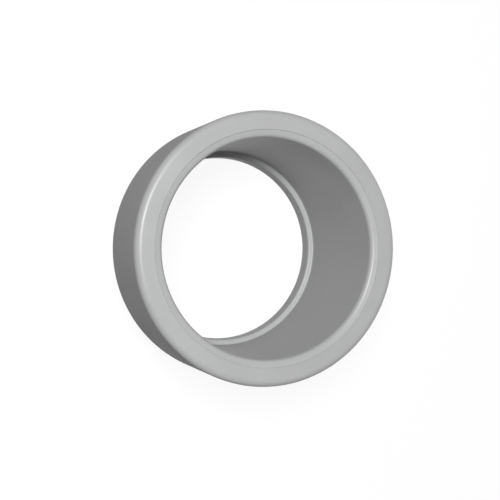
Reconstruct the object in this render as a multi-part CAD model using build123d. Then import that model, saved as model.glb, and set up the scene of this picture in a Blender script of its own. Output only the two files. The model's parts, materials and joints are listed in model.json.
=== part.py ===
from build123d import *

import os
from math import cos, radians, sin, tan

# A reducing bush for solvent-welded PVC pipework, moulded in one piece. Its
# outside is a spigot that fits the larger fitting's socket. Its mouth is a
# socket for the smaller pipe. It stands on its spigot end, mouth up, and its
# axis is Z. Lengths are in millimetres and angles in degrees.

# Socket for the smaller pipe
socket_diameter = 40.1
socket_depth = 27.4

# Wall between the socket and the spigot
wall_thickness = 4.95

# Ledge that stops the pipe at the socket's foot. It falls a little towards the hole.
ledge_width = 1.1
ledge_slope = 8.0
ledge_root_chamfer = 0.25
ledge_lip_radius = 0.45

# Stop below the socket, and the flow hole through it
stop_thickness = 3.6
hole_end_chamfer = 0.3

# Lead-in from the mouth face to the socket, a rounding that runs into a short taper
lead_in_rounding = 1.2
lead_in_taper = 10.0
lead_in_depth = 2.0

# Fine step that the mould's core leaves round the lead-in
core_step_width = 0.05
core_step_height = 0.08

# Outer edge of the mouth face
mouth_edge_radius = 1.3

# Taper that leads the spigot into the larger socket
taper_length = 11.8
taper_angle = 12.0
spigot_end_chamfer = 0.5

# Radii and heights that follow from these
socket_radius = socket_diameter / 2
spigot_radius = socket_radius + wall_thickness
hole_radius = socket_radius - ledge_width
overall_length = stop_thickness + socket_depth
core_face = overall_length - core_step_height
socket_top = core_face - lead_in_depth
lead_in_taper_height = lead_in_depth - lead_in_rounding * (1 - sin(radians(lead_in_taper)))
lead_in_taper_radius = socket_radius + lead_in_taper_height * tan(radians(lead_in_taper))
lead_in_radius = lead_in_taper_radius + lead_in_rounding * cos(radians(lead_in_taper))

# Corners of the section, as radius and height
ledge_root = (socket_radius, stop_thickness)
ledge_lip = (hole_radius, stop_thickness - ledge_width * tan(radians(ledge_slope)))
hole_end = (hole_radius, 0)
spigot_end = (spigot_radius - taper_length * tan(radians(taper_angle)), 0)
taper_top = (spigot_radius, taper_length)
mouth_edge = (spigot_radius, overall_length)
core_step_top = (lead_in_radius + core_step_width, overall_length)


def lead_in_arc():
    """The rounding that leads from the mouth face into the lead-in's taper."""
    centre = (lead_in_radius, core_face - lead_in_rounding)
    return CenterArc(centre, lead_in_rounding, start_angle=90, arc_size=90 - lead_in_taper)


def walls(lead_in):
    """The straight sides of half the section, from the lead-in's rounding down the socket and round to it again."""
    return Polyline(
        lead_in @ 1,
        (socket_radius, socket_top),
        ledge_root,
        ledge_lip,
        hole_end,
        spigot_end,
        taper_top,
        mouth_edge,
        core_step_top,
        lead_in @ 0,
    )


def corner_of(section, place):
    """The section's corner at a place."""
    return section.vertices().sort_by_distance(place)[0]


def half_section():
    """Half of the bush's section, on the plane that holds its axis."""
    lead_in = lead_in_arc()
    section = make_face([*walls(lead_in).edges(), lead_in])
    for place, radius in ((mouth_edge, mouth_edge_radius), (ledge_lip, ledge_lip_radius)):
        section = fillet(corner_of(section, place), radius)
    chamfers = (
        (ledge_root, ledge_root_chamfer),
        (hole_end, hole_end_chamfer),
        (spigot_end, spigot_end_chamfer),
    )
    for place, length in chamfers:
        section = chamfer(corner_of(section, place), length)
    return Plane.XZ * section


def reducing_bush():
    """The whole bush, turned from its half section about Z."""
    return revolve(half_section(), Axis.Z)


os.makedirs("parts", exist_ok=True)
export_step(reducing_bush(), "parts/reducing_bush.step")
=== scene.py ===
import json
from collections import namedtuple
from math import ceil, cos, pi, radians, sin, tan

import bpy
from mathutils import Matrix, Vector


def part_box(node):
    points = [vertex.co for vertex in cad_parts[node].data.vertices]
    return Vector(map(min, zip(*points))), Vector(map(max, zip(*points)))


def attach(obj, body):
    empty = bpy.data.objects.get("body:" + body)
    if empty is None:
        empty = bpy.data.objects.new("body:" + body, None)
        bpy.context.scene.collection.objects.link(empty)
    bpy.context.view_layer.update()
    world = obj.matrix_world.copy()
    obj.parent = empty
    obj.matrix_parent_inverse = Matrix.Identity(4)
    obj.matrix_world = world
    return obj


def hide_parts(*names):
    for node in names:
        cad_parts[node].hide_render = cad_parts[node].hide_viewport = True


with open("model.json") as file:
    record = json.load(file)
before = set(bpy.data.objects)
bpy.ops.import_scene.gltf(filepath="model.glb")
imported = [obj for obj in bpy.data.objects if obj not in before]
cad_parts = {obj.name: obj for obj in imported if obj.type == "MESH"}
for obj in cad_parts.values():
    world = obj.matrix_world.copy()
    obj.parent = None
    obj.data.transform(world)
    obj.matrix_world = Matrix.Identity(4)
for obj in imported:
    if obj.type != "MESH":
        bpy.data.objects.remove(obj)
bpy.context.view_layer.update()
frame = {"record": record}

NODE = "reducing_bush"
BODY = "root"
MM = 0.001

MOUNTS = {mount["name"]: mount for mount in frame["record"]["mounts"]}


def straight_wall(name):
    """Radius, foot and top of a mount's straight wall."""
    size = MOUNTS[name]["dims"]
    middle = MOUNTS[name]["pos_m"][2]
    half_length = size["length_mm"] * MM / 2
    return size["r_mm"] * MM, middle - half_length, middle + half_length


# Sizes of the bush. The walls, and the heights that bound them, are the mounts'.
SOCKET_RADIUS, SOCKET_FOOT = straight_wall("socket")[:2]
SPIGOT_RADIUS, TAPER_LENGTH, SPIGOT_TOP = straight_wall("spigot")
MOUTH_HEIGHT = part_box(NODE)[1].z
MOUTH_EDGE_RADIUS = MOUTH_HEIGHT - SPIGOT_TOP
TAPER_ANGLE = radians(12)
TAPER_BLEND_RADIUS = 3 * MM
SPIGOT_END_RADIUS = 0.6 * MM
CORE_STEP_WIDTH = 0.08 * MM
CORE_STEP_HEIGHT = 0.12 * MM
LEAD_IN_WIDTH = 1.36 * MM
LEAD_IN_DISH = radians(15)
LEAD_IN_RADIUS = 0.9 * MM
LEDGE_ROOT_CUT = 0.25 * MM
LEDGE_ROOT_RADIUS = 0.3 * MM
LEDGE_WIDTH = 1.1 * MM
LEDGE_SLOPE = radians(8)
LEDGE_LIP_RADIUS = 0.45 * MM
HOLE_END_RADIUS = 0.3 * MM

# Fineness of the turned mesh
TURN_SEGMENTS = 288
ARC_STEP = radians(6)
ROW_LENGTH = 0.9 * MM

# The photograph's view. Pixels are of its 500 by 500 frame.
FRAME_PX = 500
MOUTH_CENTRE_PX = (271.68, 248.70)
OUTER_RADIUS_PX = 139.11
FOCAL_PX = 931.3
AXIS_TURN = radians(19.64)
AXIS_DIP = radians(0.74)
SENSOR_MM = 36.0


def make_camera():
    """The camera at the photograph's angle. It looks down into the mouth, which shows right of the spigot."""
    axis = Vector((sin(AXIS_TURN) * cos(AXIS_DIP), -sin(AXIS_TURN) * sin(AXIS_DIP), cos(AXIS_TURN)))
    across = (Vector((1, 0, 0)) - axis * axis.x).normalized()
    to_world = Matrix((across, axis.cross(across), axis))
    metres_per_px = SPIGOT_RADIUS / OUTER_RADIUS_PX
    mouth = Vector((
        (MOUTH_CENTRE_PX[0] - FRAME_PX / 2) * metres_per_px,
        (FRAME_PX / 2 - MOUTH_CENTRE_PX[1]) * metres_per_px,
        -FOCAL_PX * metres_per_px,
    ))
    data = bpy.data.cameras.new("camera")
    data.sensor_width = SENSOR_MM
    data.lens = FOCAL_PX / FRAME_PX * SENSOR_MM
    data.clip_start = 0.01
    data.clip_end = 20
    camera = bpy.data.objects.new("camera", data)
    place = Vector((0, 0, MOUTH_HEIGHT)) - to_world @ mouth
    camera.matrix_world = Matrix.Translation(place) @ to_world.to_4x4()
    bpy.context.scene.collection.objects.link(camera)
    bpy.context.scene.camera = camera
    return camera


def section_corners():
    """Corners of half the section, as radius, height and rounding, from the spigot end up and round."""
    hole_radius = SOCKET_RADIUS - LEDGE_WIDTH
    end_radius = SPIGOT_RADIUS - TAPER_LENGTH * tan(TAPER_ANGLE)
    core_face = MOUTH_HEIGHT - CORE_STEP_HEIGHT
    lead_in_edge = SOCKET_RADIUS + LEAD_IN_WIDTH
    ledge_root = SOCKET_FOOT - LEDGE_ROOT_CUT
    return [
        (hole_radius, 0, HOLE_END_RADIUS),
        (end_radius, 0, SPIGOT_END_RADIUS),
        (SPIGOT_RADIUS, TAPER_LENGTH, TAPER_BLEND_RADIUS),
        (SPIGOT_RADIUS, MOUTH_HEIGHT, MOUTH_EDGE_RADIUS),
        (lead_in_edge + CORE_STEP_WIDTH, MOUTH_HEIGHT, 0),
        (lead_in_edge, core_face, 0),
        (SOCKET_RADIUS, core_face - LEAD_IN_WIDTH * tan(LEAD_IN_DISH), LEAD_IN_RADIUS),
        (SOCKET_RADIUS, ledge_root, LEDGE_ROOT_RADIUS),
        (hole_radius, ledge_root - LEDGE_WIDTH * tan(LEDGE_SLOPE), LEDGE_LIP_RADIUS),
    ]


def rounded_corner(before, corner, after, radius):
    """Points of the arc that rounds a corner, or the corner itself where its rounding is 0."""
    if radius == 0:
        return [corner]
    back = (before - corner).normalized()
    ahead = (after - corner).normalized()
    half_angle = back.angle(ahead) / 2
    turn = pi - 2 * half_angle
    centre = corner + (back + ahead).normalized() * (radius / sin(half_angle))
    start = corner + back * (radius / tan(half_angle))
    side = 1 if back.x * ahead.y - back.y * ahead.x < 0 else -1
    steps = max(2, ceil(turn / ARC_STEP))
    points = []
    for step in range(steps + 1):
        swing = Matrix.Rotation(side * turn * step / steps, 2)
        points.append(centre + swing @ (start - centre))
    return points


def section_outline():
    """The section's whole outline, with its arcs, and long straight stretches cut into rows."""
    corners = section_corners()
    places = [Vector((radius, height)) for radius, height, rounding in corners]
    bends = []
    for index, (radius, height, rounding) in enumerate(corners):
        after = places[(index + 1) % len(places)]
        bends.append(rounded_corner(places[index - 1], places[index], after, rounding))
    outline, sharp = [], set()
    for index, bend in enumerate(bends):
        if len(bend) == 1:
            sharp.add(len(outline))
        outline += bend
        start, end = bend[-1], bends[(index + 1) % len(bends)][0]
        rows = ceil((end - start).length / ROW_LENGTH)
        outline += [start.lerp(end, row / rows) for row in range(1, rows)]
    return outline, sharp


def turned_mesh(name):
    """The bush's mesh, turned from its section about Z."""
    outline, sharp = section_outline()
    count = len(outline)
    vertices, faces = [], []
    for segment in range(TURN_SEGMENTS):
        angle = 2 * pi * segment / TURN_SEGMENTS
        vertices += [(point.x * cos(angle), point.x * sin(angle), point.y) for point in outline]
        here, there = segment * count, (segment + 1) % TURN_SEGMENTS * count
        for row in range(count):
            ahead = (row + 1) % count
            faces.append((here + row, there + row, there + ahead, here + ahead))
    mesh = bpy.data.meshes.new(name)
    mesh.from_pydata(vertices, [], faces)
    mesh.shade_smooth()
    for edge in mesh.edges:
        first, second = (vertex % count for vertex in edge.vertices)
        edge.use_edge_sharp = first == second and first in sharp
    return mesh


def make_bush():
    """The bush with its turned mesh, in place of the CAD node."""
    bush = bpy.data.objects.new("bush", turned_mesh("bush"))
    bpy.context.scene.collection.objects.link(bush)
    bush.data.materials.append(pvc_material())
    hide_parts(NODE)
    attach(bush, BODY)
    return bush


# Colour of the plastic, and how far it strays from it
PVC_COLOUR = (0.447, 0.452, 0.450)
CLOUD_GRAIN = 9 * MM
CLOUD_SHADE = 0.05
SPECK_GRAIN = 0.45 * MM
SPECK_SHADE = 0.035

# Gloss. The straight walls are matter than the mouth, the roundings and the ledge.
SPECULAR_LEVEL = 0.4
MOUTH_ROUGHNESS = 0.36
SOCKET_ROUGHNESS = 0.5
SPIGOT_ROUGHNESS = 0.7
ROUGHNESS_SPREAD = 0.06

# How far a surface faces up or down: a wall up to the first, a face or an edge from the second
WALL_FACING = 0.3
EDGE_FACING = 0.6

# Relief that the mould leaves: grain sizes, and heights from trough to crest
PEEL_GRAIN = 1.1 * MM
PEEL_HEIGHT = 0.006 * MM
DRAW_MARK_GRAIN = 0.35 * MM
DRAW_MARK_LENGTH = 9 * MM
DRAW_MARK_HEIGHT = 0.0025 * MM
TURNING_MARK_GRAIN = 0.3 * MM
TURNING_MARK_HEIGHT = 0.0015 * MM


def add_node(tree, kind, inputs, **settings):
    """A node with its settings, whose inputs are given as values or as the sockets that feed them."""
    node = tree.nodes.new(kind)
    for name, value in settings.items():
        setattr(node, name, value)
    for name, value in inputs.items():
        if isinstance(value, bpy.types.NodeSocket):
            tree.links.new(value, node.inputs[name])
        else:
            node.inputs[name].default_value = value
    return node


def calculate(tree, operation, *values):
    """The result of a Math node."""
    node = add_node(tree, "ShaderNodeMath", dict(enumerate(values)), operation=operation)
    return node.outputs["Value"]


def blend(tree, value, low, high, to_low=0, to_high=1):
    """A value carried smoothly from one range to another."""
    inputs = {"Value": value, "From Min": low, "From Max": high, "To Min": to_low, "To Max": to_high}
    return add_node(tree, "ShaderNodeMapRange", inputs, interpolation_type="SMOOTHSTEP").outputs["Result"]


def noise(tree, place, detail=2.0):
    """Noise from 0 to 1 whose grain is one unit of the place's coordinates."""
    inputs = {"Vector": place, "Scale": 1.0, "Detail": detail, "Roughness": 0.5}
    return add_node(tree, "ShaderNodeTexNoise", inputs, noise_dimensions="3D").outputs["Fac"]


def scaled(tree, place, x, y, z):
    """A place with each coordinate multiplied."""
    node = add_node(tree, "ShaderNodeVectorMath", {0: place, 1: (x, y, z)}, operation="MULTIPLY")
    return node.outputs["Vector"]


def turned_place(tree, place):
    """The direction from the axis as a unit vector, and the radius."""
    flat = scaled(tree, place, 1, 1, 0)
    radius = add_node(tree, "ShaderNodeVectorMath", {0: flat}, operation="LENGTH").outputs["Value"]
    direction = add_node(tree, "ShaderNodeVectorMath", {0: flat}, operation="NORMALIZE").outputs["Vector"]
    return direction, radius


def raised(tree, height, depth, below):
    """A bump of a given depth, laid over the one below it."""
    inputs = {"Strength": 1.0, "Distance": depth, "Height": height}
    if below:
        inputs["Normal"] = below
    return add_node(tree, "ShaderNodeBump", inputs).outputs["Normal"]


def pvc_material():
    """Grey rigid PVC as it leaves the mould: a soft gloss, drawn walls, and a turned mouth face."""
    material = bpy.data.materials.new("pvc")
    material.use_nodes = True
    tree = material.node_tree
    shader = tree.nodes["Principled BSDF"]
    coordinates = add_node(tree, "ShaderNodeTexCoord", {}).outputs
    place = coordinates["Object"]
    height = add_node(tree, "ShaderNodeSeparateXYZ", {"Vector": place}).outputs["Z"]
    direction, radius = turned_place(tree, place)

    # The walls, drawn from the mould along the axis, the spigot among them, and the turned mouth face
    facing = add_node(tree, "ShaderNodeSeparateXYZ", {"Vector": coordinates["Normal"]}).outputs["Z"]
    wall = blend(tree, calculate(tree, "ABSOLUTE", facing), WALL_FACING, EDGE_FACING, 1, 0)
    outside = calculate(tree, "GREATER_THAN", radius, SOCKET_RADIUS + 2 * MM)
    face = calculate(tree, "GREATER_THAN", height, MOUTH_HEIGHT - CORE_STEP_HEIGHT / 2)

    # Colour
    clouds = noise(tree, scaled(tree, place, *[1 / CLOUD_GRAIN] * 3))
    specks = noise(tree, scaled(tree, place, *[1 / SPECK_GRAIN] * 3))
    cloud_shade = blend(tree, clouds, 0.25, 0.75, 1 - CLOUD_SHADE / 2, 1 + CLOUD_SHADE / 2)
    speck_shade = blend(tree, specks, 0.25, 0.75, 1 - SPECK_SHADE / 2, 1 + SPECK_SHADE / 2)
    shade = calculate(tree, "MULTIPLY", cloud_shade, speck_shade)
    colour = add_node(tree, "ShaderNodeVectorMath", {0: PVC_COLOUR, "Scale": shade}, operation="SCALE")
    tree.links.new(colour.outputs["Vector"], shader.inputs["Base Color"])

    # Gloss
    wall_roughness = blend(tree, outside, 0, 1, SOCKET_ROUGHNESS, SPIGOT_ROUGHNESS)
    gloss = blend(tree, wall, 0, 1, MOUTH_ROUGHNESS, wall_roughness)
    spread = blend(tree, clouds, 0.25, 0.75, -ROUGHNESS_SPREAD / 2, ROUGHNESS_SPREAD / 2)
    tree.links.new(calculate(tree, "ADD", gloss, spread), shader.inputs["Roughness"])
    shader.inputs["Specular IOR Level"].default_value = SPECULAR_LEVEL

    # Relief: a faint orange peel all over, marks along the walls, and rings on the mouth face
    peel = noise(tree, scaled(tree, place, *[1 / PEEL_GRAIN] * 3))
    around = SPIGOT_RADIUS / DRAW_MARK_GRAIN
    along = scaled(tree, place, 0, 0, 1 / DRAW_MARK_LENGTH)
    across = scaled(tree, direction, around, around, 0)
    wall_place = add_node(tree, "ShaderNodeVectorMath", {0: across, 1: along}).outputs["Vector"]
    draw_marks = calculate(tree, "MULTIPLY", noise(tree, wall_place), wall)
    outward = calculate(tree, "DIVIDE", radius, TURNING_MARK_GRAIN)
    ring_place = add_node(tree, "ShaderNodeCombineXYZ", {"X": outward}).outputs["Vector"]
    turning_marks = calculate(tree, "MULTIPLY", noise(tree, ring_place), face)
    normal = raised(tree, peel, PEEL_HEIGHT, None)
    normal = raised(tree, draw_marks, DRAW_MARK_HEIGHT, normal)
    normal = raised(tree, turning_marks, TURNING_MARK_HEIGHT, normal)
    tree.links.new(normal, shader.inputs["Normal"])
    return material


# Floor and world. What the camera sees is white, and the light they give the object is weaker.
FLOOR_HALF_WIDTH = 1.5
FLOOR_GREY = 0.1
FLOOR_FILL = 0.92
WORLD_LIGHT = 0.01


def seen_directly(tree):
    """A value of 1 for camera, glossy and transmission rays, and 0 for the light that falls on things."""
    rays = add_node(tree, "ShaderNodeLightPath", {}).outputs
    either = calculate(tree, "MAXIMUM", rays["Is Camera Ray"], rays["Is Glossy Ray"])
    return calculate(tree, "MAXIMUM", either, rays["Is Transmission Ray"])


def floor_material():
    """A floor that shows white, keeps the object's shadow and throws little light back."""
    material = bpy.data.materials.new("floor")
    material.use_nodes = True
    tree = material.node_tree
    surface = tree.nodes["Principled BSDF"]
    surface.inputs["Base Color"].default_value = (FLOOR_GREY, FLOOR_GREY, FLOOR_GREY, 1)
    surface.inputs["Roughness"].default_value = 1
    surface.inputs["Specular IOR Level"].default_value = 0
    surface.inputs["Emission Color"].default_value = (1, 1, 1, 1)
    fill = calculate(tree, "MULTIPLY", seen_directly(tree), FLOOR_FILL)
    tree.links.new(fill, surface.inputs["Emission Strength"])
    return material


def make_floor():
    """The plain pale floor that the bush stands on."""
    half = FLOOR_HALF_WIDTH
    mesh = bpy.data.meshes.new("floor")
    mesh.from_pydata([(-half, -half, 0), (half, -half, 0), (half, half, 0), (-half, half, 0)], [], [(0, 1, 2, 3)])
    mesh.materials.append(floor_material())
    floor = bpy.data.objects.new("floor", mesh)
    bpy.context.scene.collection.objects.link(floor)
    return floor


def make_world():
    """A world that shows white and lights the object weakly from all round."""
    world = bpy.data.worlds.new("world")
    world.use_nodes = True
    tree = world.node_tree
    background = tree.nodes["Background"]
    background.inputs["Color"].default_value = (1, 1, 1, 1)
    light = {"Value": seen_directly(tree), "To Min": WORLD_LIGHT, "To Max": 1}
    strength = add_node(tree, "ShaderNodeMapRange", light)
    tree.links.new(strength.outputs["Result"], background.inputs["Strength"])
    bpy.context.scene.world = world
    return world


# Lamps. Azimuth turns from +X towards +Y, and tilt leans from straight above. Metres and watts.
Lamp = namedtuple("Lamp", "name azimuth tilt distance size power")
LAMPS = [
    Lamp("key", radians(150), radians(22), 0.3, 0.08, 0.93),
    Lamp("low", radians(270), radians(65), 0.3, 0.08, 0.07),
    Lamp("back", radians(15), radians(75), 0.6, 0.3, 0.5),
]


def add_lamp(lamp):
    """A square lamp that shines at the mouth's centre."""
    data = bpy.data.lights.new(lamp.name, "AREA")
    data.size = lamp.size
    data.energy = lamp.power
    thing = bpy.data.objects.new(lamp.name, data)
    aim = Vector((sin(lamp.tilt) * cos(lamp.azimuth), sin(lamp.tilt) * sin(lamp.azimuth), cos(lamp.tilt)))
    thing.location = Vector((0, 0, MOUTH_HEIGHT)) + aim * lamp.distance
    thing.rotation_euler = aim.to_track_quat("Z", "Y").to_euler()
    bpy.context.scene.collection.objects.link(thing)
    return thing


make_bush()
make_floor()
make_world()
make_camera()
for lamp in LAMPS:
    add_lamp(lamp)

bpy.context.scene.view_settings.view_transform = "Standard"
